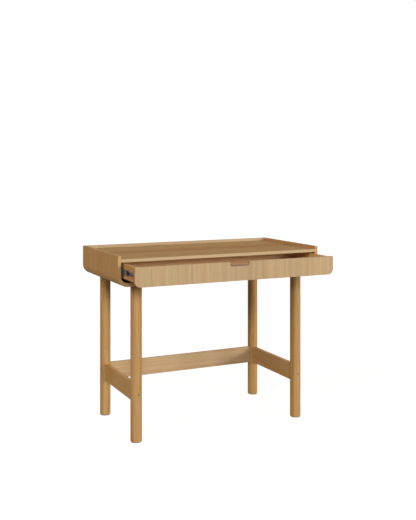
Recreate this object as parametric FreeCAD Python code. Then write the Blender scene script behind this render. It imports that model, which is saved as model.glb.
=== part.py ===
import FreeCAD, Part
import os

# Writing desk: a shallow case with one full-width drawer, on four round legs tied by three stretchers.
# Millimetres. +Z up, +X to the sitter's right, +Y to the back, floor at zero.
# The origin is on the floor, at the middle of the desk as drawn with its drawer part open.

# Case
CASE_WIDTH = 1000.0
CASE_DEPTH = 500.0
CASE_HEIGHT = 132.0
CASE_CLEARANCE = 674.0  # floor to the underside of the case
PANEL_T = 15.0  # sides, corner mouldings, bottom and back
CORNER_R = 44.0  # outside radius of the lower corners
CORNER_PLAY = 0.5  # the back panel's corners are rounder than the mouldings by this
TOP_T = 14.0
RIM_HEIGHT = 13.5  # sides and back above the worktop
EDGE_ROUND = 1.0  # eased edges of boards
SPLINE_T = 4.0
SPLINE_WIDTH = 14.0
SPLINE_STOP = 15.0  # splines end this far behind the front and back edges
TOP_DOWEL_SHARES = (0.1, 0.37, 0.64, 0.9)  # along the worktop's depth
BACK_DOWEL_SHARES = (-0.8, -0.4, 0.0, 0.4, 0.8)  # across the inner half width
UPRIGHT_DOWEL_SHARES = (0.25, 0.75)  # up the back panel's straight ends
FLOOR_DOWEL_SHARES = (-0.75, -0.25, 0.25, 0.75)  # across half the bottom panel

# Legs
LEG_D = 50.0
LEG_SIDE_INSET = 98.0  # leg axis from the case's side
LEG_FRONT_INSET = 42.0  # leg axis from the case's front or back
FOOT_ROUND = 2.0
GLIDE_D = 46.0
GLIDE_T = 2.0
GLIDE_ROUND = 0.5
GLIDE_SPIGOT_D = 8.0
GLIDE_SPIGOT_LENGTH = 14.0
HANGER_D = 8.0
HANGER_IN_LEG = 45.0
TEE_FLANGE_D = 22.0
TEE_FLANGE_T = 1.5
TEE_BARREL_D = 10.5
TEE_BARREL_SHARE = 0.75  # of the bottom panel's thickness

# Stretchers
STRETCHER_T = 18.0
STRETCHER_HEIGHT = 80.0
STRETCHER_CLEARANCE = 167.0  # floor to the lower edge
STRETCHER_ROUND = 1.5
HOUSING_DEPTH = 8.0  # stretcher ends let into the legs
BOLT_D = 6.0
BOLT_HEAD_D = 10.0
BOLT_HEAD_LENGTH = 5.0
BOLT_SINK = 1.0  # head below the leg's surface
BOLT_SOCKET = 5.0  # hexagon, across its corners
BOLT_SOCKET_DEPTH = 2.5
BOLT_IN_STRETCHER = 20.0
INSERT_D = 10.0
INSERT_LENGTH = 22.0
BACK_BOLT_SHARE = 0.15  # of the height, so that bolts cross clear of each other in the back legs
STRETCHER_DOWEL_D = 8.0
STRETCHER_DOWEL_IN_LEG = 10.0
STRETCHER_DOWEL_IN_RAIL = 18.0
STRETCHER_DOWEL_SHARES = (-0.325, 0.325)  # of the height, about the middle

# Drawer
DRAWER_OPEN = 154.0  # as drawn
FRONT_T = 16.0
FRONT_SIDE_GAP = 3.0
FRONT_TOP_GAP = 4.0
FRONT_BOTTOM_GAP = 3.5
PULL_WIDTH = 96.0
PULL_DEPTH = 20.5
PULL_CORNER_R = 12.0
BOX_T = 12.0  # drawer sides and back
BOX_BACK_GAP = 167.0  # shut drawer box to the back panel
BOX_TOP_DROP = 1.5  # box below the top of the front
BOX_BOTTOM_RAISE = 17.5  # box above the bottom of the front
BASE_T = 5.0
BASE_RAISE = 5.0  # drawer bottom above the lower edge of the sides
GROOVE_DEPTH = 6.0
BOX_DOWEL_SHARES = (0.4, 0.83)  # up the drawer sides

# Drawer runners
SLIDE_HEIGHT = 27.0
SLIDE_SPACE = 12.7  # case side to drawer side
SLIDE_GAUGE = 1.2
SLIDE_BEND = 1.0
SLIDE_START = 1.0  # members begin this far behind the drawer front
SLIDE_END = 1.0  # and end this far before the back of the drawer box
CABINET_LIP_GAP = 2.7  # fixed member's lips to the drawer side
MIDDLE_LIP_GAP = 1.7
WEB_PLAY = 0.4  # between webs and ball cages
CAGE_GAUGE = 0.6
CAGE_GAP = 2.5  # cages to the bumpers when the drawer is fully out
CAGE_LIP = 2.0  # cage past the middle of its balls
OUTER_BALL_D = 2.0
INNER_BALL_D = 2.0
BALL_PLAY = 0.3
BALLS_PER_ROW = 8
BUMPER_LENGTH = 10.0
BUMPER_T = 2.2
SLIDE_SCREW_D = 3.5
SLIDE_SCREW_HEAD_D = 5.5
SLIDE_SCREW_SHARES = (0.15, 0.5, 0.85)  # along a member
SLIDE_SCREW_BITE_SHARE = 0.75  # of the board that the screw holds in
ACCESS_LENGTH = 24.0  # slots in the middle member, to reach the fixed member's screws
ACCESS_HEIGHT = 7.5
OUTER_CAGE_SHARE = 0.25  # travel as a share of the drawer's
MIDDLE_SHARE = 0.5
INNER_CAGE_SHARE = 0.75

# Joinery
DOWEL_D = 6.0
DOWEL_IN_END = 20.0  # into the end of a board
DOWEL_FACE_SHARE = 0.65  # of the thickness of the board that a dowel enters by its face
FIT = 0.1  # round a pin, bolt or screw, and beside a tongue
END_PLAY = 1.0  # spare depth at the end of a hole or groove
OVERRUN = 5.0  # cuts run past a surface by this
NEAR = 0.001  # closer than this, two places are the same

V = FreeCAD.Vector
X_AXIS = V(1, 0, 0)
Y_AXIS = V(0, 1, 0)
Z_AXIS = V(0, 0, 1)
LEFT, RIGHT = -1, 1
FRONT, BACK = -1, 1
SIDES = {"left": LEFT, "right": RIGHT}
LEGS = {
    "front_left": (LEFT, FRONT),
    "front_right": (RIGHT, FRONT),
    "back_left": (LEFT, BACK),
    "back_right": (RIGHT, BACK),
}
HEX_SIDES = 6

# Places worked out from the sizes
CASE_Y = DRAWER_OPEN / 2
FRONT_Y = CASE_Y - CASE_DEPTH / 2
BACK_Y = CASE_Y + CASE_DEPTH / 2
HALF_WIDTH = CASE_WIDTH / 2
INNER_HALF = HALF_WIDTH - PANEL_T
FLAT_HALF = HALF_WIDTH - CORNER_R
CASE_FLOOR = CASE_CLEARANCE + PANEL_T
CASE_SHOULDER = CASE_CLEARANCE + CORNER_R
CASE_TOP = CASE_CLEARANCE + CASE_HEIGHT
WORKTOP = CASE_TOP - RIM_HEIGHT
TOP_UNDER = WORKTOP - TOP_T
TOP_MIDDLE = WORKTOP - TOP_T / 2
INNER_CORNER_R = CORNER_R - PANEL_T
BACK_FACE_Y = BACK_Y - PANEL_T
BACK_MIDDLE_Y = BACK_Y - PANEL_T / 2

LEG_R = LEG_D / 2
LEG_SEAT = LEG_R - HOUSING_DEPTH  # leg axis to the end of a stretcher
STRETCHER_MIDDLE = STRETCHER_CLEARANCE + STRETCHER_HEIGHT / 2

DRAWER_Y = FRONT_Y - DRAWER_OPEN
BOX_Y = DRAWER_Y + FRONT_T
BOX_LENGTH = CASE_DEPTH - FRONT_T - BOX_BACK_GAP - PANEL_T
BOX_END_Y = BOX_Y + BOX_LENGTH
FRONT_HALF = INNER_HALF - FRONT_SIDE_GAP
FRONT_BOTTOM = CASE_FLOOR + FRONT_BOTTOM_GAP
FRONT_TOP = TOP_UNDER - FRONT_TOP_GAP
BOX_HALF = INNER_HALF - SLIDE_SPACE
BOX_INNER_HALF = BOX_HALF - BOX_T
BOX_BOTTOM = FRONT_BOTTOM + BOX_BOTTOM_RAISE
BOX_TOP = FRONT_TOP - BOX_TOP_DROP
BASE_BOTTOM = BOX_BOTTOM + BASE_RAISE

# Heights and depths of the nested runner members, depths from the case side towards the drawer
SLIDE_Z = (BOX_BOTTOM + BOX_TOP) / 2
SLIDE_CLOSED_Y = FRONT_Y + FRONT_T + SLIDE_START
SLIDE_LENGTH = BOX_LENGTH - SLIDE_START - SLIDE_END  # also the drawer's full travel
CAGE_LAG_SHARE = INNER_CAGE_SHARE - MIDDLE_SHARE  # a cage's way along its member, of the drawer's travel
CAGE_LENGTH = SLIDE_LENGTH - 2 * (SLIDE_LENGTH * CAGE_LAG_SHARE + BUMPER_LENGTH + CAGE_GAP)
CABINET_HALF = SLIDE_HEIGHT / 2
MIDDLE_HALF = CABINET_HALF - SLIDE_GAUGE - OUTER_BALL_D - 2 * BALL_PLAY
DRAWER_HALF = MIDDLE_HALF - SLIDE_GAUGE - INNER_BALL_D - 2 * BALL_PLAY
CABINET_LIP = SLIDE_SPACE - CABINET_LIP_GAP
MIDDLE_LIP = SLIDE_SPACE - MIDDLE_LIP_GAP
OUTER_CAGE_WEB = SLIDE_GAUGE + WEB_PLAY
MIDDLE_WEB = OUTER_CAGE_WEB + CAGE_GAUGE + WEB_PLAY
INNER_CAGE_WEB = MIDDLE_WEB + SLIDE_GAUGE + WEB_PLAY
DRAWER_LIP = INNER_CAGE_WEB + CAGE_GAUGE + WEB_PLAY


def block(xs, ys, zs):
    """Box between two places along each axis, in either order."""
    low = V(min(xs), min(ys), min(zs))
    return Part.makeBox(max(xs) - low.x, max(ys) - low.y, max(zs) - low.z, low)


def slab(centre, sizes):
    """Box about its centre."""
    return Part.makeBox(sizes.x, sizes.y, sizes.z, centre - sizes / 2)


def pin(point, axis, behind, ahead, diameter, play=0.0, spare=0.0):
    """Round pin through a point, or with play and spare depth the hole for it."""
    length = behind + ahead + 2 * spare
    return Part.makeCylinder(diameter / 2 + play, length, point - axis * (behind + spare), axis)


def placed(shape, point, direction):
    """Shape made upright at the origin, stood at a point along a direction."""
    shape.Placement = FreeCAD.Placement(point, FreeCAD.Rotation(Z_AXIS, direction))
    return shape


def lies_in(edge, axis, place):
    """True where an edge lies wholly in the plane at a place along an axis."""
    box = edge.BoundBox
    low = getattr(box, axis + "Min")
    high = getattr(box, axis + "Max")
    return abs(low - place) < NEAR and abs(high - place) < NEAR


def runs_along(edge, axis):
    """True for a straight edge parallel to an axis."""
    box = edge.BoundBox
    spans = {"X": box.XLength, "Y": box.YLength, "Z": box.ZLength}
    del spans[axis]
    return max(spans.values()) < NEAR


def eased(shape, radius, wanted):
    """Shape with the wanted edges rounded."""
    return shape.makeFillet(radius, [edge for edge in shape.Edges if wanted(edge)])


def tub(half_width, ys, bottom, top, corner):
    """Upright block whose two lower edges are rounded."""
    whole = block((-half_width, half_width), ys, (bottom, top))
    return eased(whole, corner, lambda edge: runs_along(edge, "Y") and lies_in(edge, "Z", bottom))


def save(name, *shapes):
    """Write a piece, or a group of like pieces, under its name."""
    solids = [solid for shape in shapes for solid in shape.Solids]
    whole = solids[0] if len(solids) == 1 else Part.makeCompound(solids)
    whole.exportStep("parts/%s.step" % name)


def case_shell():
    """Sides, corners and bottom in one, before they are divided."""
    outside = tub(HALF_WIDTH, (FRONT_Y, BACK_Y), CASE_CLEARANCE, CASE_TOP, CORNER_R)
    past = (FRONT_Y - OVERRUN, BACK_Y + OVERRUN)
    shell = outside.cut(tub(INNER_HALF, past, CASE_FLOOR, CASE_TOP + OVERRUN, INNER_CORNER_R))
    rims = (("Y", FRONT_Y), ("Y", BACK_Y), ("Z", CASE_TOP))
    return eased(shell, EDGE_ROUND, lambda edge: any(lies_in(edge, *rim) for rim in rims))


def splines(play=0.0, spare=0.0):
    """Tongues at both ends of each corner moulding, or with play their grooves."""
    length = CASE_DEPTH - 2 * SPLINE_STOP + 2 * spare
    thick = SPLINE_T + 2 * play
    wide = SPLINE_WIDTH + 2 * spare
    tongues = []
    for side in SIDES.values():
        upright = V(side * (HALF_WIDTH - PANEL_T / 2), CASE_Y, CASE_SHOULDER)
        level = V(side * FLAT_HALF, CASE_Y, CASE_CLEARANCE + PANEL_T / 2)
        tongues.append(slab(upright, V(thick, length, wide)))
        tongues.append(slab(level, V(wide, length, thick)))
    return tongues


def board_dowel(point, axis, face_t, **room):
    """Dowel from the end of one board into the face of another, face_t thick, along the axis."""
    return pin(point, axis, DOWEL_IN_END, face_t * DOWEL_FACE_SHARE, DOWEL_D, **room)


def top_dowels(**room):
    """Dowels from the worktop into the sides and the back."""
    dowels = []
    for side in SIDES.values():
        for share in TOP_DOWEL_SHARES:
            y = FRONT_Y + (BACK_FACE_Y - FRONT_Y) * share
            dowels.append(board_dowel(V(side * INNER_HALF, y, TOP_MIDDLE), X_AXIS * side, PANEL_T, **room))
    for share in BACK_DOWEL_SHARES:
        point = V(INNER_HALF * share, BACK_FACE_Y, TOP_MIDDLE)
        dowels.append(board_dowel(point, Y_AXIS, PANEL_T, **room))
    return dowels


def back_dowels(**room):
    """Dowels from the back panel into the sides and the bottom."""
    dowels = []
    for side in SIDES.values():
        for share in UPRIGHT_DOWEL_SHARES:
            z = CASE_SHOULDER + (TOP_UNDER - CASE_SHOULDER) * share
            point = V(side * INNER_HALF, BACK_MIDDLE_Y, z)
            dowels.append(board_dowel(point, X_AXIS * side, PANEL_T, **room))
    for share in FLOOR_DOWEL_SHARES:
        point = V(FLAT_HALF * share, BACK_MIDDLE_Y, CASE_FLOOR)
        dowels.append(board_dowel(point, -Z_AXIS, PANEL_T, **room))
    return dowels


def top_panel():
    """Worktop between the sides, its front edge eased."""
    top = block((-INNER_HALF, INNER_HALF), (FRONT_Y, BACK_FACE_Y), (TOP_UNDER, WORKTOP))
    return eased(top, EDGE_ROUND, lambda edge: runs_along(edge, "X") and lies_in(edge, "Y", FRONT_Y))


def back_panel():
    """Back board between the sides, standing on the bottom, its rim eased."""
    ys = (BACK_FACE_Y, BACK_Y)
    back = tub(INNER_HALF, ys, CASE_FLOOR, CASE_TOP, INNER_CORNER_R + CORNER_PLAY)
    return eased(back, EDGE_ROUND, lambda edge: runs_along(edge, "X") and lies_in(edge, "Z", CASE_TOP))


def make_case():
    """Case boards with their joinery."""
    shell = case_shell()
    ys = (FRONT_Y, BACK_Y)
    room = {"play": FIT, "spare": END_PLAY}
    grooves = splines(**room)
    top_holes = top_dowels(**room)
    back_holes = back_dowels(**room)
    for name, side in SIDES.items():
        xs = (side * FLAT_HALF, side * HALF_WIDTH)
        panel = shell.common(block(xs, ys, (CASE_SHOULDER, CASE_TOP)))
        holes = grooves + top_holes + back_holes + cabinet_screws(play=FIT)
        save(name + "_side_panel", panel.cut(holes))
        moulding = shell.common(block(xs, ys, (CASE_CLEARANCE, CASE_SHOULDER)))
        save(name + "_corner_moulding", moulding.cut(grooves))
    bottom = shell.common(block((-FLAT_HALF, FLAT_HALF), ys, (CASE_CLEARANCE, CASE_FLOOR)))
    save("bottom_panel", bottom.cut(grooves + back_holes + tee_nut_holes()))
    save("top_panel", top_panel().cut(top_holes))
    save("back_panel", back_panel().cut(top_holes + back_holes))
    save("case_splines", *splines())
    save("top_panel_dowels", *top_dowels())
    save("back_panel_dowels", *back_dowels())


def leg_axis(across, along):
    """Point on the floor under a leg's axis."""
    x = across * (HALF_WIDTH - LEG_SIDE_INSET)
    return V(x, CASE_Y + along * (CASE_DEPTH / 2 - LEG_FRONT_INSET), 0)


def leg_blank(foot):
    """Round leg from its glide to the case, its foot eased."""
    leg = Part.makeCylinder(LEG_R, CASE_CLEARANCE - GLIDE_T, foot + Z_AXIS * GLIDE_T)
    return eased(leg, FOOT_ROUND, lambda edge: lies_in(edge, "Z", GLIDE_T))


def glide_spigot(foot, **room):
    """Peg of a glide in its leg."""
    seat = foot + Z_AXIS * GLIDE_T
    return pin(seat, Z_AXIS, 0, GLIDE_SPIGOT_LENGTH, GLIDE_SPIGOT_D, **room)


def foot_glide(foot):
    """Flat glide with a peg, resting on the floor."""
    disc = Part.makeCylinder(GLIDE_D / 2, GLIDE_T, foot)
    disc = eased(disc, GLIDE_ROUND, lambda edge: lies_in(edge, "Z", 0))
    return disc.fuse(glide_spigot(foot)).removeSplitter()


def hanger_bolt(foot, **room):
    """Bolt from a leg's top up into the bottom panel."""
    return pin(foot + Z_AXIS * CASE_CLEARANCE, Z_AXIS, HANGER_IN_LEG, PANEL_T, HANGER_D, **room)


def tee_nut_blank(foot, play=0.0):
    """Flanged nut let into the bottom panel from above, without its thread."""
    top = foot + Z_AXIS * CASE_FLOOR
    flange = pin(top, Z_AXIS, TEE_FLANGE_T, 0, TEE_FLANGE_D, play)
    barrel = pin(top, Z_AXIS, PANEL_T * TEE_BARREL_SHARE, 0, TEE_BARREL_D, play)
    return flange.fuse(barrel).removeSplitter()


def tee_nut_holes():
    """Holes in the bottom panel for the nuts and the bolts."""
    feet = [leg_axis(*place) for place in LEGS.values()]
    return [tee_nut_blank(foot, FIT) for foot in feet] + [hanger_bolt(foot, play=FIT) for foot in feet]


def stretchers():
    """Each stretcher's name, the leg axes it joins and its bolts' height above its middle."""
    front_left, front_right, back_left, back_right = (leg_axis(*place) for place in LEGS.values())
    raised = STRETCHER_HEIGHT * BACK_BOLT_SHARE
    return (
        ("left_stretcher", front_left, back_left, 0),
        ("right_stretcher", front_right, back_right, 0),
        ("back_stretcher", back_left, back_right, raised),
    )


def stretcher_ends():
    """Each end of each stretcher: its leg's axis, its direction out of the leg, and its bolt's height."""
    ends = []
    for _, start, end, raised in stretchers():
        direction = (end - start).normalize()
        ends.append((start, direction, STRETCHER_MIDDLE + raised))
        ends.append((end, -direction, STRETCHER_MIDDLE + raised))
    return ends


def stretcher_blank(start, end):
    """Board between two legs, its ends let into them."""
    along = (end - start).normalize()
    across = Z_AXIS.cross(along) * (STRETCHER_T / 2)
    near = start + along * LEG_SEAT - across
    far = end - along * LEG_SEAT + across
    zs = (STRETCHER_CLEARANCE, STRETCHER_CLEARANCE + STRETCHER_HEIGHT)
    return block((near.x, far.x), (near.y, far.y), zs)


def stretcher_dowels(**room):
    """Dowels beside the bolt at each end of a stretcher."""
    dowels = []
    for axis, direction, _ in stretcher_ends():
        for share in STRETCHER_DOWEL_SHARES:
            height = STRETCHER_MIDDLE + STRETCHER_HEIGHT * share
            seat = axis + direction * LEG_SEAT + Z_AXIS * height
            reach = (STRETCHER_DOWEL_IN_LEG, STRETCHER_DOWEL_IN_RAIL)
            dowels.append(pin(seat, direction, *reach, STRETCHER_DOWEL_D, **room))
    return dowels


def hex_socket():
    """Six-sided prism that a key leaves in a bolt's head."""
    corner = V(BOLT_SOCKET / 2, 0, 0)
    corners = [FreeCAD.Rotation(Z_AXIS, 360 * turn / HEX_SIDES).multVec(corner) for turn in range(HEX_SIDES)]
    return Part.Face(Part.makePolygon(corners + corners[:1])).extrude(Z_AXIS * BOLT_SOCKET_DEPTH)


def stretcher_bolt(axis, direction, height):
    """Socket-head bolt through a leg into the end of a stretcher."""
    length = LEG_R - BOLT_SINK + LEG_SEAT + BOLT_IN_STRETCHER
    head = Part.makeCylinder(BOLT_HEAD_D / 2, BOLT_HEAD_LENGTH)
    bolt = head.fuse(Part.makeCylinder(BOLT_D / 2, length)).removeSplitter().cut(hex_socket())
    outside = axis - direction * (LEG_R - BOLT_SINK) + Z_AXIS * height
    return placed(bolt, outside, direction)


def stretcher_bolt_hole(axis, direction, height):
    """Hole and counterbore for a bolt."""
    middle = axis + Z_AXIS * height
    seat = LEG_R - BOLT_SINK - BOLT_HEAD_LENGTH
    hole = pin(middle, direction, seat, LEG_SEAT + BOLT_IN_STRETCHER + END_PLAY, BOLT_D, FIT)
    return hole.fuse(pin(middle, direction, LEG_R + OVERRUN, -seat, BOLT_HEAD_D, FIT))


def stretcher_insert(axis, direction, height, play=0.0, spare=0.0):
    """Round nut in the end of a stretcher, without its thread, or with play its hole."""
    seat = axis + direction * LEG_SEAT + Z_AXIS * height
    return pin(seat, direction, 0, INSERT_LENGTH + spare, INSERT_D, play)


def make_leg_frame():
    """Legs, stretchers and what holds them."""
    feet = {name: leg_axis(*place) for name, place in LEGS.items()}
    ends = stretcher_ends()
    boards = [stretcher_blank(start, end) for _, start, end, _ in stretchers()]
    dowel_holes = stretcher_dowels(play=FIT, spare=END_PLAY)
    bolt_holes = [stretcher_bolt_hole(*end) for end in ends]
    insert_holes = [stretcher_insert(*end, play=FIT, spare=END_PLAY) for end in ends]
    for name, foot in feet.items():
        holes = [hanger_bolt(foot, play=FIT, spare=END_PLAY), glide_spigot(foot, play=FIT, spare=END_PLAY)]
        save(name + "_leg", leg_blank(foot).cut(holes + boards + dowel_holes + bolt_holes))
    for (name, start, end, _), board in zip(stretchers(), boards):
        along = "X" if abs(end.x - start.x) > abs(end.y - start.y) else "Y"
        rail = eased(board, STRETCHER_ROUND, lambda edge: runs_along(edge, along))
        save(name, rail.cut(dowel_holes + bolt_holes + insert_holes))
    save("foot_glides", *(foot_glide(foot) for foot in feet.values()))
    save("leg_hanger_bolts", *(hanger_bolt(foot) for foot in feet.values()))
    save("leg_tee_nuts", *(tee_nut_blank(foot).cut(hanger_bolt(foot, play=FIT)) for foot in feet.values()))
    save("stretcher_bolts", *(stretcher_bolt(*end) for end in ends))
    save("stretcher_insert_nuts", *(stretcher_insert(*end).cut(bolt_holes) for end in ends))
    save("stretcher_dowels", *stretcher_dowels())


def slide_x(side, depth):
    """Place across the desk of a depth out from a case side."""
    return side * (INNER_HALF - depth)


def slide_span(share):
    """Front and back of a runner member that has gone a share of the drawer's way."""
    start = SLIDE_CLOSED_Y - DRAWER_OPEN * share
    return start, start + SLIDE_LENGTH


def slide_places(share):
    """Places of the screws along a runner member that has gone a share of the drawer's way."""
    start = slide_span(share)[0]
    return [start + SLIDE_LENGTH * place for place in SLIDE_SCREW_SHARES]


def channel(side, half_height, gauge, web, lip, ys):
    """Lipped channel with its back at one depth and its lips at another."""
    turn = 1 if lip > web else -1
    back = slide_x(side, web)
    zs = (SLIDE_Z - half_height, SLIDE_Z + half_height)
    whole = block((back, slide_x(side, lip)), ys, zs)
    whole = eased(whole, SLIDE_BEND, lambda edge: runs_along(edge, "Y") and lies_in(edge, "X", back))
    xs = (slide_x(side, web + turn * gauge), slide_x(side, lip + turn * OVERRUN))
    hollow = block(xs, (ys[0] - OVERRUN, ys[1] + OVERRUN), (zs[0] + gauge, zs[1] - gauge))
    return whole.cut(hollow)


def slide_screws(side, share, depth, direction, board_t, play):
    """Countersunk screws along a runner member, from the face of its web into a board."""
    head_r = SLIDE_SCREW_HEAD_D / 2 + play
    shank_r = SLIDE_SCREW_D / 2 + play
    length = SLIDE_GAUGE + board_t * SLIDE_SCREW_BITE_SHARE + play
    screws = []
    for y in slide_places(share):
        head = Part.makeCone(head_r, shank_r, head_r - shank_r)
        screw = head.fuse(Part.makeCylinder(shank_r, length)).removeSplitter()
        screws.append(placed(screw, V(slide_x(side, depth), y, SLIDE_Z), direction))
    return screws


def cabinet_screws(play=0.0):
    """Screws that hold the fixed members to the case sides."""
    screws = []
    for side in SIDES.values():
        screws += slide_screws(side, 0, SLIDE_GAUGE, X_AXIS * side, PANEL_T, play)
    return screws


def drawer_screws(play=0.0):
    """Screws that hold the drawer members to the drawer sides."""
    depth = SLIDE_SPACE - SLIDE_GAUGE
    screws = []
    for side in SIDES.values():
        screws += slide_screws(side, 1, depth, X_AXIS * -side, BOX_T, play)
    return screws


def access_slots(side):
    """Round-ended slots in a middle member's web, over the fixed member's screws when the runner is shut."""
    half = (ACCESS_LENGTH - ACCESS_HEIGHT) / 2
    through = SLIDE_GAUGE + OVERRUN
    slots = []
    for y in slide_places(MIDDLE_SHARE):
        middle = V(slide_x(side, MIDDLE_WEB), y, SLIDE_Z)
        slots.append(slab(middle, V(2 * through, 2 * half, ACCESS_HEIGHT)))
        for end in (-half, half):
            slots.append(pin(middle + Y_AXIS * end, X_AXIS, through, through, ACCESS_HEIGHT))
    return slots


def ball_row(side, depth, height, share, radius):
    """Balls above and below the middle of a runner, along a cage that has gone a share of the way."""
    middle = sum(slide_span(share)) / 2
    pitch = CAGE_LENGTH / BALLS_PER_ROW
    balls = []
    for row in (-1, 1):
        for place in range(BALLS_PER_ROW):
            y = middle + pitch * (place - (BALLS_PER_ROW - 1) / 2)
            centre = V(slide_x(side, depth), y, SLIDE_Z + row * height)
            balls.append(Part.makeSphere(radius, centre))
    return balls


def make_cage(name, side, web, depth, height, share, ball_d):
    """Ball cage with its balls: a bent strip with a hole round each ball."""
    middle = sum(slide_span(share)) / 2
    ys = (middle - CAGE_LENGTH / 2, middle + CAGE_LENGTH / 2)
    strip = channel(side, height + CAGE_GAUGE / 2, CAGE_GAUGE, web, depth + CAGE_LIP, ys)
    holes = ball_row(side, depth, height, share, ball_d / 2 + BALL_PLAY)
    save(name + "_ball_cage", strip.cut(holes))
    save(name + "_balls", *ball_row(side, depth, height, share, ball_d / 2))


def make_runners():
    """Left and right ball slides, each of three nested channels and two ball cages."""
    outer_height = (CABINET_HALF - SLIDE_GAUGE + MIDDLE_HALF) / 2
    inner_height = (MIDDLE_HALF - SLIDE_GAUGE + DRAWER_HALF) / 2
    outer_depth = (MIDDLE_WEB + CABINET_LIP) / 2
    inner_depth = (DRAWER_LIP + MIDDLE_LIP) / 2
    for name, side in SIDES.items():
        fixed = channel(side, CABINET_HALF, SLIDE_GAUGE, 0, CABINET_LIP, slide_span(0))
        save(name + "_cabinet_slide", fixed.cut(cabinet_screws(play=FIT)))
        start, end = slide_span(MIDDLE_SHARE)
        stop = start + BUMPER_LENGTH
        middle = channel(side, MIDDLE_HALF, SLIDE_GAUGE, MIDDLE_WEB, MIDDLE_LIP, (stop, end))
        save(name + "_middle_slide", middle.cut(access_slots(side)))
        bumper = channel(side, MIDDLE_HALF, BUMPER_T, MIDDLE_WEB, MIDDLE_LIP, (start, stop))
        save(name + "_slide_bumper", bumper)
        moving = channel(side, DRAWER_HALF, SLIDE_GAUGE, SLIDE_SPACE, DRAWER_LIP, slide_span(1))
        save(name + "_drawer_slide", moving.cut(drawer_screws(play=FIT)))
        make_cage(name + "_outer", side, OUTER_CAGE_WEB, outer_depth, outer_height,
                  OUTER_CAGE_SHARE, OUTER_BALL_D)
        make_cage(name + "_inner", side, INNER_CAGE_WEB, inner_depth, inner_height,
                  INNER_CAGE_SHARE, INNER_BALL_D)
    save("cabinet_slide_screws", *cabinet_screws())
    save("drawer_slide_screws", *drawer_screws())


def drawer_base(play=0.0):
    """Drawer bottom, held in grooves all round, or with play the grooves."""
    reach = GROOVE_DEPTH - END_PLAY + play
    half = BOX_INNER_HALF + reach
    ys = (BOX_Y - reach, BOX_END_Y - BOX_T + reach)
    return block((-half, half), ys, (BASE_BOTTOM - play, BASE_BOTTOM + BASE_T + play))


def drawer_front():
    """Front with rounded lower corners and a finger cut-out in its top edge."""
    ys = (DRAWER_Y, BOX_Y)
    front = tub(FRONT_HALF, ys, FRONT_BOTTOM, FRONT_TOP, INNER_CORNER_R - FRONT_SIDE_GAP)
    past = (DRAWER_Y - OVERRUN, BOX_Y + OVERRUN)
    pull = tub(PULL_WIDTH / 2, past, FRONT_TOP - PULL_DEPTH, FRONT_TOP + OVERRUN, PULL_CORNER_R)
    return eased(front.cut(pull), EDGE_ROUND, lambda edge: lies_in(edge, "Y", DRAWER_Y))


def drawer_side(side):
    """Drawer side, its top edge eased."""
    board = block((side * BOX_INNER_HALF, side * BOX_HALF), (BOX_Y, BOX_END_Y), (BOX_BOTTOM, BOX_TOP))
    return eased(board, EDGE_ROUND, lambda edge: runs_along(edge, "Y") and lies_in(edge, "Z", BOX_TOP))


def drawer_dowels(**room):
    """Dowels from the drawer sides into the front, and from the back into the sides."""
    dowels = []
    for side in SIDES.values():
        for share in BOX_DOWEL_SHARES:
            z = BOX_BOTTOM + (BOX_TOP - BOX_BOTTOM) * share
            front = V(side * (BOX_HALF - BOX_T / 2), BOX_Y, z)
            back = V(side * BOX_INNER_HALF, BOX_END_Y - BOX_T / 2, z)
            dowels.append(board_dowel(front, -Y_AXIS, FRONT_T, **room))
            dowels.append(board_dowel(back, X_AXIS * side, BOX_T, **room))
    return dowels


def make_drawer():
    """Drawer front and box with their joinery."""
    holes = drawer_dowels(play=FIT, spare=END_PLAY)
    groove = drawer_base(FIT)
    save("drawer_front", drawer_front().cut(holes + [groove]))
    for name, side in SIDES.items():
        board = drawer_side(side)
        save("drawer_%s_side" % name, board.cut(holes + [groove] + drawer_screws(play=FIT)))
    xs = (-BOX_INNER_HALF, BOX_INNER_HALF)
    back = block(xs, (BOX_END_Y - BOX_T, BOX_END_Y), (BOX_BOTTOM, BOX_TOP))
    save("drawer_back", back.cut(holes + [groove]))
    save("drawer_bottom", drawer_base())
    save("drawer_dowels", *drawer_dowels())


os.makedirs("parts", exist_ok=True)
make_case()
make_leg_frame()
make_runners()
make_drawer()
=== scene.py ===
import functools
import math

import bmesh
import bpy
from mathutils import Euler, Matrix, Vector


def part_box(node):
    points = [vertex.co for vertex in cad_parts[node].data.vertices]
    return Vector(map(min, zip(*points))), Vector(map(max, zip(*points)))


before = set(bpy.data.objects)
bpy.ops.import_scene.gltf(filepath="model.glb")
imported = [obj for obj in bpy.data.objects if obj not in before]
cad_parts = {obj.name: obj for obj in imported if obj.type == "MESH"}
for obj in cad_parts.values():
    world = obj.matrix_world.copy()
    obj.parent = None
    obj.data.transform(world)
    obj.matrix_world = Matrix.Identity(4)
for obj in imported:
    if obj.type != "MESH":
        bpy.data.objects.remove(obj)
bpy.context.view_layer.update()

bl_info = {
    "name": "Oak writing desk",
    "version": (1, 0, 0),
    "blender": (4, 5, 0),
    "location": "3D View > Sidebar > Desk",
    "description": "Finishes, floor, light and camera for a writing desk with one wide drawer",
    "category": "Object",
}

CASE_SHELL = (
    "left_side_panel", "right_side_panel", "left_corner_moulding", "right_corner_moulding", "bottom_panel")
LEGS = ("front_left_leg", "front_right_leg", "back_left_leg", "back_right_leg")
SIDES = ("left", "right")
WHITE = (1.0, 1.0, 1.0)

# Grain space has x across a board's figure, y into the board and z along its fibres.
# Each row says which way of the desk one of the three runs.
UPRIGHT = Matrix(((1, 0, 0), (0, 1, 0), (0, 0, 1)))
UPRIGHT_ON_SIDES = Matrix(((0, 1, 0), (-1, 0, 0), (0, 0, 1)))
ALONG_WORKTOP = Matrix(((0, 1, 0), (0, 0, 1), (1, 0, 0)))
ALONG_BACK = Matrix(((0, 0, 1), (0, -1, 0), (1, 0, 0)))
FRONT_TO_BACK = Matrix(((0, 0, 1), (1, 0, 0), (0, 1, 0)))

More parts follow.
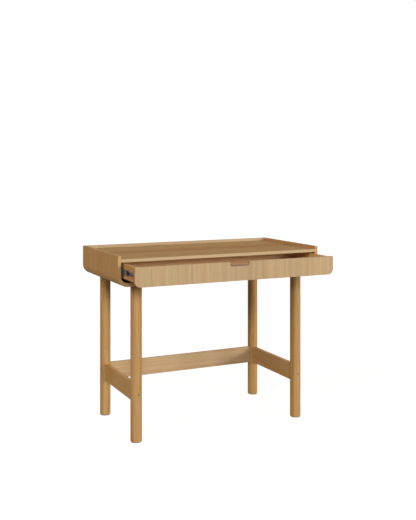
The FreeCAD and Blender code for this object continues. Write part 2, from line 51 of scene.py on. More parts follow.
# Figure is drawn out along the fibres, and in veneer that wraps a corner into the board as well
SOLID_STRETCH = (1.0, 1.0, 0.05)
WRAPPED_STRETCH = (1.0, 0.05, 0.05)

# Where the pith of each board's tree ran, as a point of the desk:
# close by for a crown cut, far off for straight lines
WORKTOP_PITH = (0.0, 0.075, 0.74)
FRONT_PITH = (-1.3, 0.4, 0.0)
CASE_PITH = (0.8, -1.0, 0.0)
BACK_PITH = (0.0, 0.9, 0.5)
BOX_PITH = (0.4, 0.5, 0.4)
LEG_PITH = (0.0, 0.077, 0.0)
RAIL_PITH = (0.1, 0.2, 0.315)

# How bold the figure of the legs is, against that of the boards
LEG_BOLD = 2.4
# Fineness of the noise in the streaks and in the pores, and of all other noise
FIBRE_DETAIL = 4.0
PORE_DETAIL = 1.0
SOFT_DETAIL = 2.0

# Powers that deepen the wood's own colour for the heart, and pale it for the edges, where the pale strip is
# rubbed wear and a painted highlight
HEART_POWER = 1.25
RUBBED_AND_HIGHLIGHT_POWER = 0.7
# Powers for red, green and blue that turn it to olive or to a redder brown
OLIVE_POWERS = (1.01, 0.965, 0.985)
REDDER_POWERS = (0.99, 1.045, 1.02)

# A band of veneer on an edge reaches this far into the board
EDGE_BAND_DEPTH = 0.001

# Matt lacquer on the wood, each with its roughness and its gloss
VENEER_LACQUER = (0.6, 0.03)
WORKTOP_LACQUER = (0.65, 0.02)
LEG_LACQUER = (0.45, 0.06)
RAIL_LACQUER = (0.55, 0.03)
BARE_BEECH = (0.65, 0.15)
# The grain stays to the touch under it: rougher pores, and strength and depth of the hollows
PORE_ROUGHNESS = 0.15
GRAIN_BUMP = (0.25, 0.0003)

# Drawn steel: lines from front to back, cloudy tones, play of the roughness, strength and depth of the lines
DRAWN_STRETCH = (1.0, 0.02, 1.0)
CLOUD_WIDTH = 0.03
STEEL_TONES = (0.85, 1.1)
STEEL_PLAY = 0.08
STEEL_BUMP = (0.15, 0.0002)
RUNNER_ROUGHNESS = 0.5
RUNNER_METAL = 0.5  # dull plating
CAGE_ROUGHNESS = 0.35
BALL_ROUGHNESS = 0.18
FASTENER_ROUGHNESS = 0.4

# Moulded plastic, in the same way
PLASTIC_GRAIN_WIDTH = 0.0012
PLASTIC_TONES = (0.9, 1.15)
PLASTIC_PLAY = 0.06
PLASTIC_BUMP = (0.2, 0.0002)
BUMPER_ROUGHNESS = 0.45
GLIDE_ROUGHNESS = 0.55

# Soft noise seldom leaves this range
NOISE_RANGE = (0.3, 0.7)
# Only the darkest specks of the finest noise are open pores
PORE_RANGE = (0.72, 0.95)

# Colour sockets of a Mix node
MIX_FACTOR, MIX_FIRST, MIX_SECOND, MIX_RESULT = 0, 6, 7, 2


def colour(name, description, default):
    """Colour property, as linear light."""
    return bpy.props.FloatVectorProperty(
        name=name, description=description, default=default, size=3, subtype="COLOR", min=0.0, max=1.0)


def length(name, description, default):
    """Length property, in metres."""
    return bpy.props.FloatProperty(
        name=name, description=description, default=default, unit="LENGTH", subtype="DISTANCE", min=0.0)


def place(name, description, default):
    """Property for a point in the desk's own frame."""
    return bpy.props.FloatVectorProperty(
        name=name, description=description, default=default, size=3, unit="LENGTH", subtype="TRANSLATION")


def angle(name, description, degrees):
    """Angle property, given in degrees."""
    return bpy.props.FloatProperty(
        name=name, description=description, default=math.radians(degrees), unit="ROTATION", subtype="ANGLE")


def share(name, description, default):
    """Property from none to all."""
    return bpy.props.FloatProperty(
        name=name, description=description, default=default, subtype="FACTOR", min=0.0, max=1.0)


def level(name, description, default):
    """Strength of a light, where 1 shows a surface that faces it in the surface's own colour."""
    return bpy.props.FloatProperty(name=name, description=description, default=default, min=0.0)


class DeskWood(bpy.types.PropertyGroup):
    """Colours and figure of the wood."""

    front: colour("Front", "Veneer of the drawer front", (0.55, 0.378, 0.203))
    bands: colour("Bands", "Band on the front edge of the worktop", (0.572, 0.432, 0.236))
    edges: colour("Edges", "Bands on the front edges of the case", (0.61, 0.378, 0.18))
    case: colour("Case", "Veneer of the sides, corners and bottom", (0.578, 0.3135, 0.121))
    back: colour("Back", "Veneer of the back board", (0.52, 0.388, 0.225))
    worktop: colour("Worktop", "Veneer of the worktop", (0.43, 0.257, 0.099))
    legs: colour("Legs", "Solid oak of the legs", (0.522, 0.282, 0.079))
    back_rail: colour("Back rail", "Solid oak of the rail between the back legs", (0.55, 0.366, 0.193))
    left_rail: colour("Left rail", "Solid oak of the rail at the left", (0.585, 0.338, 0.129))
    # Same oak as the left rail, painted lighter: painted light that offsets the shade on the right rail's
    # inner face
    right_rail_with_painted_light: colour("Right rail", "Solid oak of the rail at the right", (0.67, 0.382, 0.158))
    drawer_sides: colour("Drawer sides", "Sides of the drawer box", (0.625, 0.34, 0.143))
    # The back and the base are the box's wood painted paler: painted light that brightens the shade inside
    # the drawer
    drawer_back: colour("Drawer back", "Back of the drawer box", (0.73, 0.477, 0.249))
    drawer_base_with_painted_light: colour("Drawer base", "Thin board at the bottom of the drawer", (0.88, 0.74, 0.55))
    joinery: colour("Joinery", "Beech of the dowels and loose tongues", (0.6, 0.42, 0.25))
    contrast: share("Contrast", "How far the figure goes from its mean tone", 0.17)
    leaf_width: length("Leaf width", "Width of one sheet of veneer", 0.11)
    leaf_contrast: share("Leaf contrast", "How far one sheet's tone goes from the next", 0.07)
    band_width: length("Band width", "Width of broad bands of tone", 0.02)
    band_share: share("Bands", "Broad bands' share of the figure", 0.4)
    hue_width: length("Hue width", "Width of the bands that turn to olive or to a redder brown", 0.035)
    ring_spacing: length("Ring spacing", "Distance between growth lines", 0.004)
    ring_share: share("Rings", "Growth lines' share of the figure", 0.3)
    ring_slope: share("Ring slope", "How fast the growth lines drift across the fibres", 0.6)
    wander_width: length("Wander width", "Size of the growth lines' waves", 0.12)
    wander: length("Wander", "Depth of the growth lines' waves", 0.02)
    fibre_width: length("Fibre width", "Width of the streaks along the fibres", 0.0045)
    fibre_share: share("Fibres", "Streaks' share of the figure", 0.3)
    pore_width: length("Pore width", "Width of the open pores", 0.0008)
    pore_share: share("Pores", "How dark the open pores are", 0.35)
    pore_power: bpy.props.FloatProperty(
        name="Pore depth", description="Power that makes the wood's colour into the pores' colour",
        default=1.9)
    heart_width: length("Heart width", "Half the width of the darker heart of the worktop", 0.075)
    heart_share: share("Heart", "How dark the heart of the worktop is", 0.7)
    # Paler strip along edges: partly rubbed wear, partly a painted highlight where the edges catch light
    rubbed_and_highlight_width: length("Rubbed and highlight width", "Width of the paler strip along edges", 0.003)
    rubbed_and_highlight_share: share("Rubbed", "How pale the strip along edges is", 0.08)


class DeskMetal(bpy.types.PropertyGroup):
    """Colours of the runners, the fasteners and the plastic pieces."""

    slide: colour("Runners", "Steel of the runner members", (0.085, 0.085, 0.095))
    cage: colour("Ball cages", "Steel of the ball cages", (0.30, 0.30, 0.29))
    ball: colour("Balls", "Steel of the balls", (0.60, 0.60, 0.60))
    fastener: colour("Fasteners", "Zinc on bolts, nuts and screws", (0.2, 0.2, 0.17))
    bumper: colour("Bumpers", "Plastic end stops of the runners", (0.012, 0.012, 0.014))
    glide: colour("Glides", "Plastic under the legs", (0.10, 0.085, 0.07))
    draw_width: length("Draw lines", "Width of the lines left by drawing the steel", 0.0006)


class DeskStage(bpy.types.PropertyGroup):
    """Floor, light from all around, and camera."""

    floor_size: length("Floor", "Side of the square floor", 60.0)
    floor: share("Floor tone", "How much light the floor gives back", 0.3)
    floor_white: share("Floor white", "White that the camera sees on the floor besides its lit tone", 0.87)
    ambient: colour("Ambient", "Light from all around", (0.04, 0.037, 0.035))
    camera_place: place("Camera place", "Where the camera stands", (-1.6206, -3.3522, 1.1913))
    camera_turn: angle("Camera turn", "How far the camera is turned from the desk's front", -25.487)
    lens: bpy.props.FloatProperty(
        name="Lens", description="Focal length", default=55.13, unit="CAMERA", min=1.0)
    shift_across: bpy.props.FloatProperty(
        name="Shift across", description="Lens shift to the right", default=0.0105)
    shift_up: bpy.props.FloatProperty(
        name="Shift up", description="Lens shift upwards, which keeps the legs upright", default=-0.1829)


class DeskKeyLamp(bpy.types.PropertyGroup):
    """One of two main lights, low at the right of the front."""

    side: angle("Side", "How far round from the front to the right", 22.0)
    rise: angle("Rise", "How far above level", 13.0)
    spread: angle("Spread", "How wide the light looks from the desk", 15.0)
    level: level("Level", "Strength of the light", 0.27)
    tint: colour("Tint", "Colour of the light", WHITE)


class DeskRightLamp(bpy.types.PropertyGroup):
    """The other main light, farther round to the right."""

    side: angle("Side", "How far round from the front to the right", 40.0)
    rise: angle("Rise", "How far above level", 13.0)
    spread: angle("Spread", "How wide the light looks from the desk", 15.0)
    level: level("Level", "Strength of the light", 0.34)
    tint: colour("Tint", "Colour of the light", WHITE)


class DeskFrontLamp(bpy.types.PropertyGroup):
    """Third light, higher and at the left of the front."""

    side: angle("Side", "How far round from the front to the right", -20.0)
    rise: angle("Rise", "How far above level", 24.0)
    spread: angle("Spread", "How wide the light looks from the desk", 12.0)
    level: level("Level", "Strength of the light", 0.28)
    tint: colour("Tint", "Colour of the light", WHITE)


class DeskLeftLamp(bpy.types.PropertyGroup):
    """Warm light at the left."""

    side: angle("Side", "How far round from the front to the right", -70.0)
    rise: angle("Rise", "How far above level", 30.0)
    spread: angle("Spread", "How wide the light looks from the desk", 30.0)
    level: level("Level", "Strength of the light", 0.36)
    tint: colour("Tint", "Colour of the light", (1.0, 0.95, 0.84))


class DeskBackLamp(bpy.types.PropertyGroup):
    """Warm light behind the desk."""

    side: angle("Side", "How far round from the front to the right", 165.0)
    rise: angle("Rise", "How far above level", 38.0)
    spread: angle("Spread", "How wide the light looks from the desk", 30.0)
    level: level("Level", "Strength of the light", 0.28)
    tint: colour("Tint", "Colour of the light", (1.0, 0.8, 0.65))


def rgba(tint, tone=1.0):
    """Colour for a socket, made lighter or darker."""
    return (*(min(1.0, part * tone) for part in tint), 1.0)


def deepened(tint, power):
    """Colour made deeper by a power over 1, or paler by one under 1."""
    return tuple(part ** power for part in tint)


def turned(tint, powers):
    """Colour turned to another hue by a power for each of its parts."""
    return tuple(part ** power for part, power in zip(tint, powers))


class Nodes:
    """Adds nodes to a tree and joins them."""

    def __init__(self, tree):
        self.tree = tree

    def feed(self, socket, value):
        """Give a socket a constant, or the output that feeds it."""
        if isinstance(value, bpy.types.NodeSocket):
            self.tree.links.new(value, socket)
        else:
            socket.default_value = value

    def add(self, kind, sockets=None, **settings):
        """New node with its settings and the values of its sockets."""
        node = self.tree.nodes.new(kind)
        for name, value in settings.items():
            setattr(node, name, value)
        for name, value in (sockets or {}).items():
            self.feed(node.inputs[name], value)
        return node

    def math(self, operation, *values):
        """Result of a sum."""
        return self.add("ShaderNodeMath", dict(enumerate(values)), operation=operation).outputs["Value"]

    def vector_math(self, operation, *vectors):
        """Result of a sum of vectors."""
        node = self.add("ShaderNodeVectorMath", dict(enumerate(vectors)), operation=operation)
        return node.outputs["Vector"]

    def axes(self, vector):
        """The three parts of a vector."""
        return self.add("ShaderNodeSeparateXYZ", {"Vector": vector}).outputs

    def spread(self, value, before, after=(0.0, 1.0)):
        """A value taken from one range to another, and held at its ends."""
        sockets = {"Value": value, "From Min": before[0], "From Max": before[1],
                   "To Min": after[0], "To Max": after[1]}
        return self.add("ShaderNodeMapRange", sockets).outputs["Result"]

    def mix(self, factor, first, second, blend="MIX"):
        """Two colours mixed."""
        node = self.add("ShaderNodeMix", data_type="RGBA", blend_type=blend)
        for socket, value in ((MIX_FACTOR, factor), (MIX_FIRST, first), (MIX_SECOND, second)):
            self.feed(node.inputs[socket], value)
        return node.outputs[MIX_RESULT]

    def noise(self, vector, width, detail=SOFT_DETAIL):
        """Soft noise from 0 to 1, with patches of about a width."""
        node = self.add("ShaderNodeTexNoise", {"Vector": vector, "Scale": 1.0 / width, "Detail": detail})
        return self.spread(node.outputs["Fac"], NOISE_RANGE)

    def lines(self, distance, width, detail=SOFT_DETAIL):
        """Soft noise from 0 to 1 along one distance, with bands of about a width."""
        node = self.add(
            "ShaderNodeTexNoise", {"W": distance, "Scale": 1.0 / width, "Detail": detail},
            noise_dimensions="1D")
        return self.spread(node.outputs["Fac"], NOISE_RANGE)

    def group(self, tree, **sockets):
        """A group's outputs, with its inputs fed."""
        return self.add("ShaderNodeGroup", sockets, node_tree=tree).outputs

    def seen(self):
        """1 for what the camera sees directly, mirrored or through glass."""
        path = self.add("ShaderNodeLightPath").outputs
        direct_or_glossy = self.math("MAXIMUM", path["Is Camera Ray"], path["Is Glossy Ray"])
        return self.math("MAXIMUM", direct_or_glossy, path["Is Transmission Ray"])

    def bump(self, height, strength, depth):
        """Normal of a surface with small hollows."""
        sockets = {"Height": height, "Strength": strength, "Distance": depth}
        return self.add("ShaderNodeBump", sockets).outputs["Normal"]


def new_group(name, inputs, outputs):
    """Shader node group with its sockets: its nodes, what it is given and what it puts out."""
    tree = bpy.data.node_groups.new(name, "ShaderNodeTree")
    for in_out, sockets in (("INPUT", inputs), ("OUTPUT", outputs)):
        for socket, kind in sockets.items():
            tree.interface.new_socket(socket, in_out=in_out, socket_type="NodeSocket" + kind)
    nodes = Nodes(tree)
    return nodes, nodes.add("NodeGroupInput").outputs, nodes.add("NodeGroupOutput").inputs


@functools.cache
def oak_figure():
    """Group for the growth lines, streaks and pores of oak, in drawn-out grain space about the pith."""
    wood = bpy.context.scene.desk_wood
    nodes, given, result = new_group(
        "Oak figure", {"Vector": "Vector"},
        {"Tone": "Float", "Hue": "Float", "Pores": "Float", "Height": "Float", "Heart": "Float"})
    vector = given["Vector"]
    x, y, z = nodes.axes(vector)
    leaning = nodes.math("MULTIPLY_ADD", z, wood.ring_slope, y)
    from_pith = nodes.math("SQRT", nodes.math("MULTIPLY_ADD", x, x, nodes.math("MULTIPLY", leaning, leaning)))
    radius = nodes.math("MULTIPLY_ADD", nodes.noise(vector, wood.wander_width), wood.wander, from_pith)
    bands = nodes.lines(radius, wood.band_width)
    rings = nodes.lines(radius, wood.ring_spacing)
    fibres = nodes.noise(vector, wood.fibre_width, detail=FIBRE_DETAIL)
    pores = nodes.spread(nodes.noise(vector, wood.pore_width, detail=PORE_DETAIL), PORE_RANGE)
    pores = nodes.math("MULTIPLY", pores, nodes.math("SUBTRACT", 1.0, rings))
    tone = nodes.math("MULTIPLY", bands, wood.band_share)
    tone = nodes.math("MULTIPLY_ADD", rings, wood.ring_share, tone)
    tone = nodes.math("MULTIPLY_ADD", fibres, wood.fibre_share, tone)
    nodes.feed(result["Tone"], tone)
    nodes.feed(result["Hue"], nodes.lines(radius, wood.hue_width))
    nodes.feed(result["Pores"], pores)
    nodes.feed(result["Height"], nodes.math("SUBTRACT", fibres, pores))
    nodes.feed(result["Heart"], nodes.spread(nodes.math("ABSOLUTE", x), (0.0, wood.heart_width), (1.0, 0.0)))
    return nodes.tree


@functools.cache
def veneer_leaves():
    """Group that divides grain space into sheets of veneer, each with a figure and a tone of its own."""
    nodes, given, result = new_group(
        "Veneer leaves", {"Vector": "Vector", "Width": "Float"}, {"Vector": "Vector", "Leaf": "Float"})
    number = nodes.math("FLOOR", nodes.math("DIVIDE", nodes.axes(given["Vector"])["X"], given["Width"]))
    chance = nodes.add("ShaderNodeTexWhiteNoise", {"W": number}, noise_dimensions="1D").outputs
    nodes.feed(result["Vector"], nodes.vector_math("ADD", given["Vector"], chance["Color"]))
    nodes.feed(result["Leaf"], chance["Value"])
    return nodes.tree


@functools.cache
def rubbed_and_highlit_edges():
    """Group that finds the strip along the edges of a box, which is paled for rubbed wear and a painted
    highlight.
    """
    nodes, given, result = new_group(
        "Rubbed and highlit edges", {"Vector": "Vector", "Low": "Vector", "High": "Vector", "Width": "Float"},
        {"Edge": "Float"})
    above = nodes.vector_math("SUBTRACT", given["Vector"], given["Low"])
    below = nodes.vector_math("SUBTRACT", given["High"], given["Vector"])
    x, y, z = nodes.axes(nodes.vector_math("MINIMUM", above, below))
    smaller, larger = nodes.math("MINIMUM", x, y), nodes.math("MAXIMUM", x, y)
    second = nodes.math("MAXIMUM", smaller, nodes.math("MINIMUM", larger, z))
    nodes.feed(result["Edge"], nodes.spread(second, (0.0, given["Width"]), (1.0, 0.0)))
    return nodes.tree


class Finish:
    """Material made up in layers, with the desk's own coordinates."""

    def __init__(self, name):
        self.material = bpy.data.materials.new(name)
        self.material.use_nodes = True
        self.nodes = Nodes(self.material.node_tree)
        self.shader = self.material.node_tree.nodes["Principled BSDF"].inputs
        self.point = self.nodes.add("ShaderNodeTexCoord").outputs["Object"]

    def set(self, **sockets):
        """Values of the shader's sockets, with _ for each space."""
        for name, value in sockets.items():
            self.nodes.feed(self.shader[name.replace("_", " ")], value)

    def on(self, *names):
        """Put the material on CAD nodes."""
        for name in names:
            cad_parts[name].material_slots[0].material = self.material


class Oak(Finish):
    """Oak with its grain one way, as solid wood or as leaves of veneer. Beech is drawn the same way."""

    def __init__(self, name, tint, grain, pith, stretch=SOLID_STRETCH, leaf_width=0.0, bold=1.0):
        super().__init__(name)
        self.bold = bold
        nodes = self.nodes
        grain_space = nodes.add("ShaderNodeMapping", {
            "Vector": self.point, "Rotation": grain.to_euler(), "Location": -(grain @ Vector(pith))})
        vector = grain_space.outputs["Vector"]
        if leaf_width:
            leaves = nodes.group(veneer_leaves(), Vector=vector, Width=leaf_width)
            vector = leaves["Vector"]
        drawn_out = nodes.add("ShaderNodeMapping", {"Vector": vector, "Scale": stretch})
        self.figure = nodes.group(oak_figure(), Vector=drawn_out.outputs["Vector"])
        self.tint = tint
        self.colour = self.toned(tint)
        if leaf_width:
            contrast = bpy.context.scene.desk_wood.leaf_contrast
            tone = nodes.spread(leaves["Leaf"], (0.0, 1.0), (1.0 - contrast, 1.0 + contrast))
            self.colour = nodes.mix(1.0, self.colour, tone, "MULTIPLY")

    def toned(self, tint):
        """Colour of the figure about a tint, darker in its pores."""
        wood, nodes = bpy.context.scene.desk_wood, self.nodes
        hues = turned(tint, OLIVE_POWERS), turned(tint, REDDER_POWERS)
        reach = self.bold * wood.contrast
        dark, light = (
            nodes.mix(self.figure["Hue"], *(rgba(deepened(hue, power)) for hue in hues))
            for power in (1.0 + reach, 1.0 - reach))
        tone = nodes.mix(self.figure["Tone"], dark, light)
        depth = nodes.math("MULTIPLY", self.figure["Pores"], wood.pore_share)
        return nodes.mix(depth, tone, rgba(deepened(tint, wood.pore_power)))

    def heart(self):
        """A darker heart along the middle of the figure."""
        wood, nodes = bpy.context.scene.desk_wood, self.nodes
        depth = nodes.math("MULTIPLY", self.figure["Heart"], wood.heart_share)
        dark = deepened(turned(self.tint, REDDER_POWERS), HEART_POWER)
        self.colour = nodes.mix(depth, self.colour, rgba(dark))

    def front_band(self, tint, node):
        """A strip of another veneer on the edges of a board that face the front."""
        y = self.nodes.axes(self.point)["Y"]
        on_front = self.nodes.math("LESS_THAN", y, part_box(node)[0].y + EDGE_BAND_DEPTH)
        self.colour = self.nodes.mix(on_front, self.colour, self.toned(tint))

    def top_band(self, tint, node):
        """A strip of another veneer on the edges of a board that face up."""
        z = self.nodes.axes(self.point)["Z"]
        on_top = self.nodes.math("GREATER_THAN", z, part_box(node)[1].z - EDGE_BAND_DEPTH)
        self.colour = self.nodes.mix(on_top, self.colour, self.toned(tint))

    def end_bands(self, tint, node):
        """A strip of another veneer on both ends of a board that lies across the desk."""
        out = self.nodes.math("ABSOLUTE", self.nodes.axes(self.point)["X"])
        on_end = self.nodes.math("GREATER_THAN", out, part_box(node)[1].x - EDGE_BAND_DEPTH)
        self.colour = self.nodes.mix(on_end, self.colour, self.toned(tint))

    def rub_and_highlight(self, *names):
        """Paler edges round a board, or round several boards that make one shape: rubbed wear and a painted
        highlight where the edges catch light.
        """
        wood, nodes = bpy.context.scene.desk_wood, self.nodes
        boxes = [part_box(name) for name in names]
        low = [min(box[0][axis] for box in boxes) for axis in range(3)]
        high = [max(box[1][axis] for box in boxes) for axis in range(3)]
        edges = nodes.group(rubbed_and_highlit_edges(), Vector=self.point, Low=low, High=high, Width=wood.rubbed_and_highlight_width)
        pale = rgba(deepened(self.tint, RUBBED_AND_HIGHLIGHT_POWER))
        depth = nodes.math("MULTIPLY", edges["Edge"], wood.rubbed_and_highlight_share)
        self.colour = nodes.mix(depth, self.colour, pale)

    def lacquer(self, roughness, gloss):
        """Finish the wood with a lacquer, or leave it bare."""
        nodes = self.nodes
        self.set(
            Base_Color=self.colour,
            Roughness=nodes.spread(self.figure["Pores"], (0.0, 1.0), (roughness, roughness + PORE_ROUGHNESS)),
            Normal=nodes.bump(self.figure["Height"], *GRAIN_BUMP),
            Specular_IOR_Level=gloss)


def steel(name, tint, roughness, metallic=1.0):
    """Drawn steel, with fine lines from front to back and a little cloudiness."""
    finish = Finish(name)
    nodes, width = finish.nodes, bpy.context.scene.desk_metal.draw_width
    drawn = nodes.add("ShaderNodeMapping", {"Vector": finish.point, "Scale": DRAWN_STRETCH})
    lines = nodes.noise(drawn.outputs["Vector"], width)
    clouds = nodes.noise(finish.point, CLOUD_WIDTH)
    finish.set(
        Base_Color=nodes.mix(clouds, *(rgba(tint, tone) for tone in STEEL_TONES)),
        Metallic=metallic,
        Roughness=nodes.spread(lines, (0.0, 1.0), (roughness - STEEL_PLAY, roughness + STEEL_PLAY)),
        Normal=nodes.bump(lines, *STEEL_BUMP))
    return finish


def plastic(name, tint, roughness):
    """Moulded plastic with a fine grain."""
    finish = Finish(name)
    nodes = finish.nodes
    grain = nodes.noise(finish.point, PLASTIC_GRAIN_WIDTH)
    finish.set(
        Base_Color=nodes.mix(grain, *(rgba(tint, tone) for tone in PLASTIC_TONES)),
        Roughness=nodes.spread(grain, (0.0, 1.0), (roughness - PLASTIC_PLAY, roughness + PLASTIC_PLAY)),
        Normal=nodes.bump(grain, *PLASTIC_BUMP))
    return finish


class DESK_OT_case(bpy.types.Operator):
    """Veneer the case: sides, corners and bottom in one wrapped sheet, and the back board"""

    bl_idname = "desk.case"
    bl_label = "Case"

    def execute(self, context):
        wood = context.scene.desk_wood
        shell = Oak("Side veneer", wood.case, UPRIGHT_ON_SIDES, CASE_PITH, WRAPPED_STRETCH, wood.leaf_width)
        shell.top_band(wood.worktop, "left_side_panel")
        shell.front_band(wood.edges, "left_side_panel")
        shell.rub_and_highlight(*CASE_SHELL)
        shell.lacquer(*VENEER_LACQUER)
        shell.on(*CASE_SHELL)
        back = Oak("Back board veneer", wood.back, ALONG_BACK, BACK_PITH)
        back.rub_and_highlight("back_panel")
        back.lacquer(*VENEER_LACQUER)
        back.on("back_panel")
        return {"FINISHED"}


class DESK_OT_worktop(bpy.types.Operator):
    """Veneer the worktop, with a dark heart and a paler band along its front edge"""

    bl_idname = "desk.worktop"
    bl_label = "Worktop"

    def execute(self, context):
        wood = context.scene.desk_wood
        top = Oak("Worktop veneer", wood.worktop, ALONG_WORKTOP, WORKTOP_PITH)
        top.heart()
        top.front_band(wood.bands, "top_panel")
        top.lacquer(*WORKTOP_LACQUER)
        top.on("top_panel")
        return {"FINISHED"}


class DESK_OT_drawer(bpy.types.Operator):
    """Veneer the drawer front and finish the boards of the drawer box"""

    bl_idname = "desk.drawer"
    bl_label = "Drawer"

    def execute(self, context):
        wood = context.scene.desk_wood
        front = Oak("Drawer front veneer", wood.front, UPRIGHT, FRONT_PITH, leaf_width=wood.leaf_width)
        front.end_bands(wood.case, "drawer_front")
        front.rub_and_highlight("drawer_front")
        front.lacquer(*VENEER_LACQUER)
        front.on("drawer_front")
        # Back and base take paler tints: painted light in the shaded inside of the drawer
        for name, tint, grain in (
                ("left_side", wood.drawer_sides, FRONT_TO_BACK),
                ("right_side", wood.drawer_sides, FRONT_TO_BACK),
                ("back", wood.drawer_back, ALONG_BACK),
                ("bottom", wood.drawer_base_with_painted_light, ALONG_WORKTOP)):
            board = Oak("Drawer box board", tint, grain, BOX_PITH)
            board.rub_and_highlight("drawer_" + name)
            board.lacquer(*VENEER_LACQUER)
            board.on("drawer_" + name)
        return {"FINISHED"}


class DESK_OT_legs(bpy.types.Operator):
    """Finish the turned legs"""

    bl_idname = "desk.legs"
    bl_label = "Legs"

    def execute(self, context):
        leg = Oak("Leg oak", context.scene.desk_wood.legs, UPRIGHT, LEG_PITH, bold=LEG_BOLD)
        leg.lacquer(*LEG_LACQUER)
        leg.on(*LEGS)
        return {"FINISHED"}


class DESK_OT_stretchers(bpy.types.Operator):
    """Finish the rails between the legs"""

    bl_idname = "desk.stretchers"
    bl_label = "Stretchers"

    def execute(self, context):
        wood = context.scene.desk_wood
        # The right rail's lighter tint is painted light over the shade on its face
        for side, tint, grain in (
                ("left", wood.left_rail, FRONT_TO_BACK), ("right", wood.right_rail_with_painted_light, FRONT_TO_BACK),
                ("back", wood.back_rail, ALONG_BACK)):
            name = side + "_stretcher"
            rail = Oak("Stretcher oak", tint, grain, RAIL_PITH)
            rail.rub_and_highlight(name)
            rail.lacquer(*RAIL_LACQUER)
            rail.on(name)
        return {"FINISHED"}


class DESK_OT_joinery(bpy.types.Operator):
    """Finish the dowels and the loose tongues"""

    bl_idname = "desk.joinery"
    bl_label = "Joinery"

    def execute(self, context):
        beech = Oak("Beech", context.scene.desk_wood.joinery, ALONG_BACK, BACK_PITH)
        beech.lacquer(*BARE_BEECH)
        beech.on("case_splines", "top_panel_dowels", "back_panel_dowels", "stretcher_dowels", "drawer_dowels")
        return {"FINISHED"}


class DESK_OT_runners(bpy.types.Operator):
    """Finish the drawer runners, their ball cages, balls and end stops"""

    bl_idname = "desk.runners"
    bl_label = "Drawer runners"

    def execute(self, context):
        metal = context.scene.desk_metal
        member = steel("Runner steel", metal.slide, RUNNER_ROUGHNESS, metallic=RUNNER_METAL)
        cage = steel("Ball cage steel", metal.cage, CAGE_ROUGHNESS)
        ball = steel("Ball steel", metal.ball, BALL_ROUGHNESS)
        bumper = plastic("Bumper plastic", metal.bumper, BUMPER_ROUGHNESS)
        for side in SIDES:
            member.on(side + "_cabinet_slide", side + "_middle_slide", side + "_drawer_slide")
            cage.on(side + "_outer_ball_cage", side + "_inner_ball_cage")
            ball.on(side + "_outer_balls", side + "_inner_balls")
            bumper.on(side + "_slide_bumper")
        return {"FINISHED"}


class DESK_OT_fasteners(bpy.types.Operator):
    """Finish the bolts, nuts and screws"""

    bl_idname = "desk.fasteners"
    bl_label = "Fasteners"

    def execute(self, context):
        zinc = steel("Fastener zinc", context.scene.desk_metal.fastener, FASTENER_ROUGHNESS)
        zinc.on("leg_hanger_bolts", "leg_tee_nuts", "stretcher_bolts", "stretcher_insert_nuts",
                "cabinet_slide_screws", "drawer_slide_screws")
        return {"FINISHED"}


class DESK_OT_feet(bpy.types.Operator):
    """Finish the glides under the legs"""

    bl_idname = "desk.feet"
    bl_label = "Feet"

    def execute(self, context):
        plastic("Glide plastic", context.scene.desk_metal.glide, GLIDE_ROUGHNESS).on("foot_glides")
        return {"FINISHED"}


def floor_material(stage):
    """A pale floor, which the camera sees as white but for the desk's shade."""
    material = bpy.data.materials.new("Floor")
    material.use_nodes = True
    nodes = Nodes(material.node_tree)
    pale = nodes.add("ShaderNodeBsdfDiffuse", {"Color": rgba((stage.floor,) * 3)}).outputs["BSDF"]
    white = nodes.add("ShaderNodeEmission", {"Color": rgba(WHITE), "Strength": stage.floor_white})
    whitened = nodes.add("ShaderNodeAddShader", {0: pale, 1: white.outputs["Emission"]}).outputs["Shader"]
    both = nodes.add("ShaderNodeMixShader", {0: nodes.seen(), 1: pale, 2: whitened}).outputs["Shader"]
    nodes.feed(material.node_tree.nodes["Material Output"].inputs["Surface"], both)
    return material


def add_floor(stage):
    """Square floor at the foot of the desk."""
    mesh = bpy.data.meshes.new("floor")
    shape = bmesh.new()
    bmesh.ops.create_grid(shape, x_segments=1, y_segments=1, size=stage.floor_size / 2)
    shape.to_mesh(mesh)
    shape.free()
    mesh.materials.append(floor_material(stage))
    floor = bpy.data.objects.new("floor", mesh)
    bpy.context.scene.collection.objects.link(floor)


def light_world(stage):
    """Faint light from all around, with white behind the desk."""
    world = bpy.data.worlds.new("Studio")
    world.use_nodes = True
    nodes = Nodes(world.node_tree)
    around = nodes.mix(nodes.seen(), rgba(stage.ambient), rgba(WHITE))
    nodes.feed(world.node_tree.nodes["Background"].inputs["Color"], around)
    bpy.context.scene.world = world


def add_lamp(name, lamp):
    """Light from far off at its side of the desk."""
    light = bpy.data.lights.new(name, "SUN")
    light.angle = lamp.spread
    light.energy = lamp.level * math.pi
    light.color = lamp.tint
    away = Euler((-lamp.rise, 0.0, lamp.side)).to_matrix() @ Vector((0.0, -1.0, 0.0))
    lamp_object = bpy.data.objects.new(name, light)
    lamp_object.rotation_euler = away.to_track_quat("Z", "Y").to_euler()
    bpy.context.scene.collection.objects.link(lamp_object)


def add_camera(stage):
    """Level camera to the left of the desk's front."""
    lens = bpy.data.cameras.new("camera")
    lens.lens = stage.lens
    lens.shift_x = stage.shift_across
    lens.shift_y = stage.shift_up
    camera = bpy.data.objects.new("camera", lens)
    camera.location = stage.camera_place
    camera.rotation_euler = (math.pi / 2, 0.0, stage.camera_turn)
    bpy.context.scene.collection.objects.link(camera)
    bpy.context.scene.camera = camera


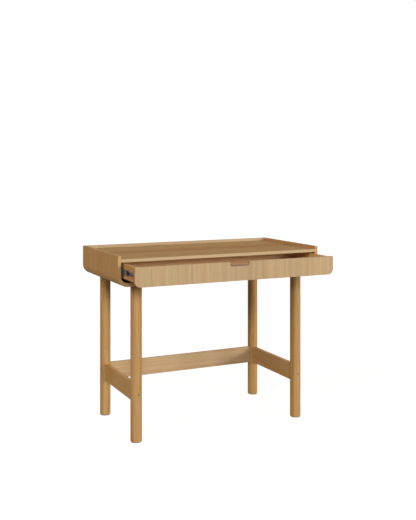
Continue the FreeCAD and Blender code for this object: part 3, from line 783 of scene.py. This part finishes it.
class DESK_OT_stage(bpy.types.Operator):
    """Set the desk on a white floor in soft light, with the camera before it"""

    bl_idname = "desk.stage"
    bl_label = "Stage"

    def execute(self, context):
        stage = context.scene.desk_stage
        context.scene.view_settings.view_transform = "Standard"
        add_floor(stage)
        light_world(stage)
        for name in LAMPS:
            add_lamp(name, getattr(context.scene, "desk_" + name))
        add_camera(stage)
        return {"FINISHED"}


SETTINGS = {
    "desk_wood": DeskWood,
    "desk_metal": DeskMetal,
    "desk_stage": DeskStage,
    "desk_key_lamp": DeskKeyLamp,
    "desk_right_lamp": DeskRightLamp,
    "desk_front_lamp": DeskFrontLamp,
    "desk_left_lamp": DeskLeftLamp,
    "desk_back_lamp": DeskBackLamp,
}
LAMPS = ("key_lamp", "right_lamp", "front_lamp", "left_lamp", "back_lamp")
OPERATORS = (DESK_OT_case, DESK_OT_worktop, DESK_OT_drawer, DESK_OT_legs, DESK_OT_stretchers, DESK_OT_joinery,
             DESK_OT_runners, DESK_OT_fasteners, DESK_OT_feet, DESK_OT_stage)


class DESK_PT_finishes(bpy.types.Panel):
    """Lists the desk's settings and what makes its finishes"""

    bl_idname = "DESK_PT_finishes"
    bl_label = "Oak writing desk"
    bl_space_type = "VIEW_3D"
    bl_region_type = "UI"
    bl_category = "Desk"

    def draw(self, context):
        for name, group in SETTINGS.items():
            box = self.layout.box()
            for setting in group.__annotations__:
                box.prop(getattr(context.scene, name), setting)
        for operator in OPERATORS:
            self.layout.operator(operator.bl_idname)


CLASSES = (*SETTINGS.values(), *OPERATORS, DESK_PT_finishes)


def register():
    """Add the desk's settings, operators and panel to Blender."""
    for cls in CLASSES:
        bpy.utils.register_class(cls)
    for name, group in SETTINGS.items():
        setattr(bpy.types.Scene, name, bpy.props.PointerProperty(type=group))


def unregister():
    """Take them out again."""
    for name in SETTINGS:
        delattr(bpy.types.Scene, name)
    for cls in reversed(CLASSES):
        bpy.utils.unregister_class(cls)


def main():
    """Finish the desk and stage it."""
    register()
    for operator in OPERATORS:
        getattr(bpy.ops.desk, operator.bl_idname.split(".")[1])()


if __name__ == "__main__":
    main()
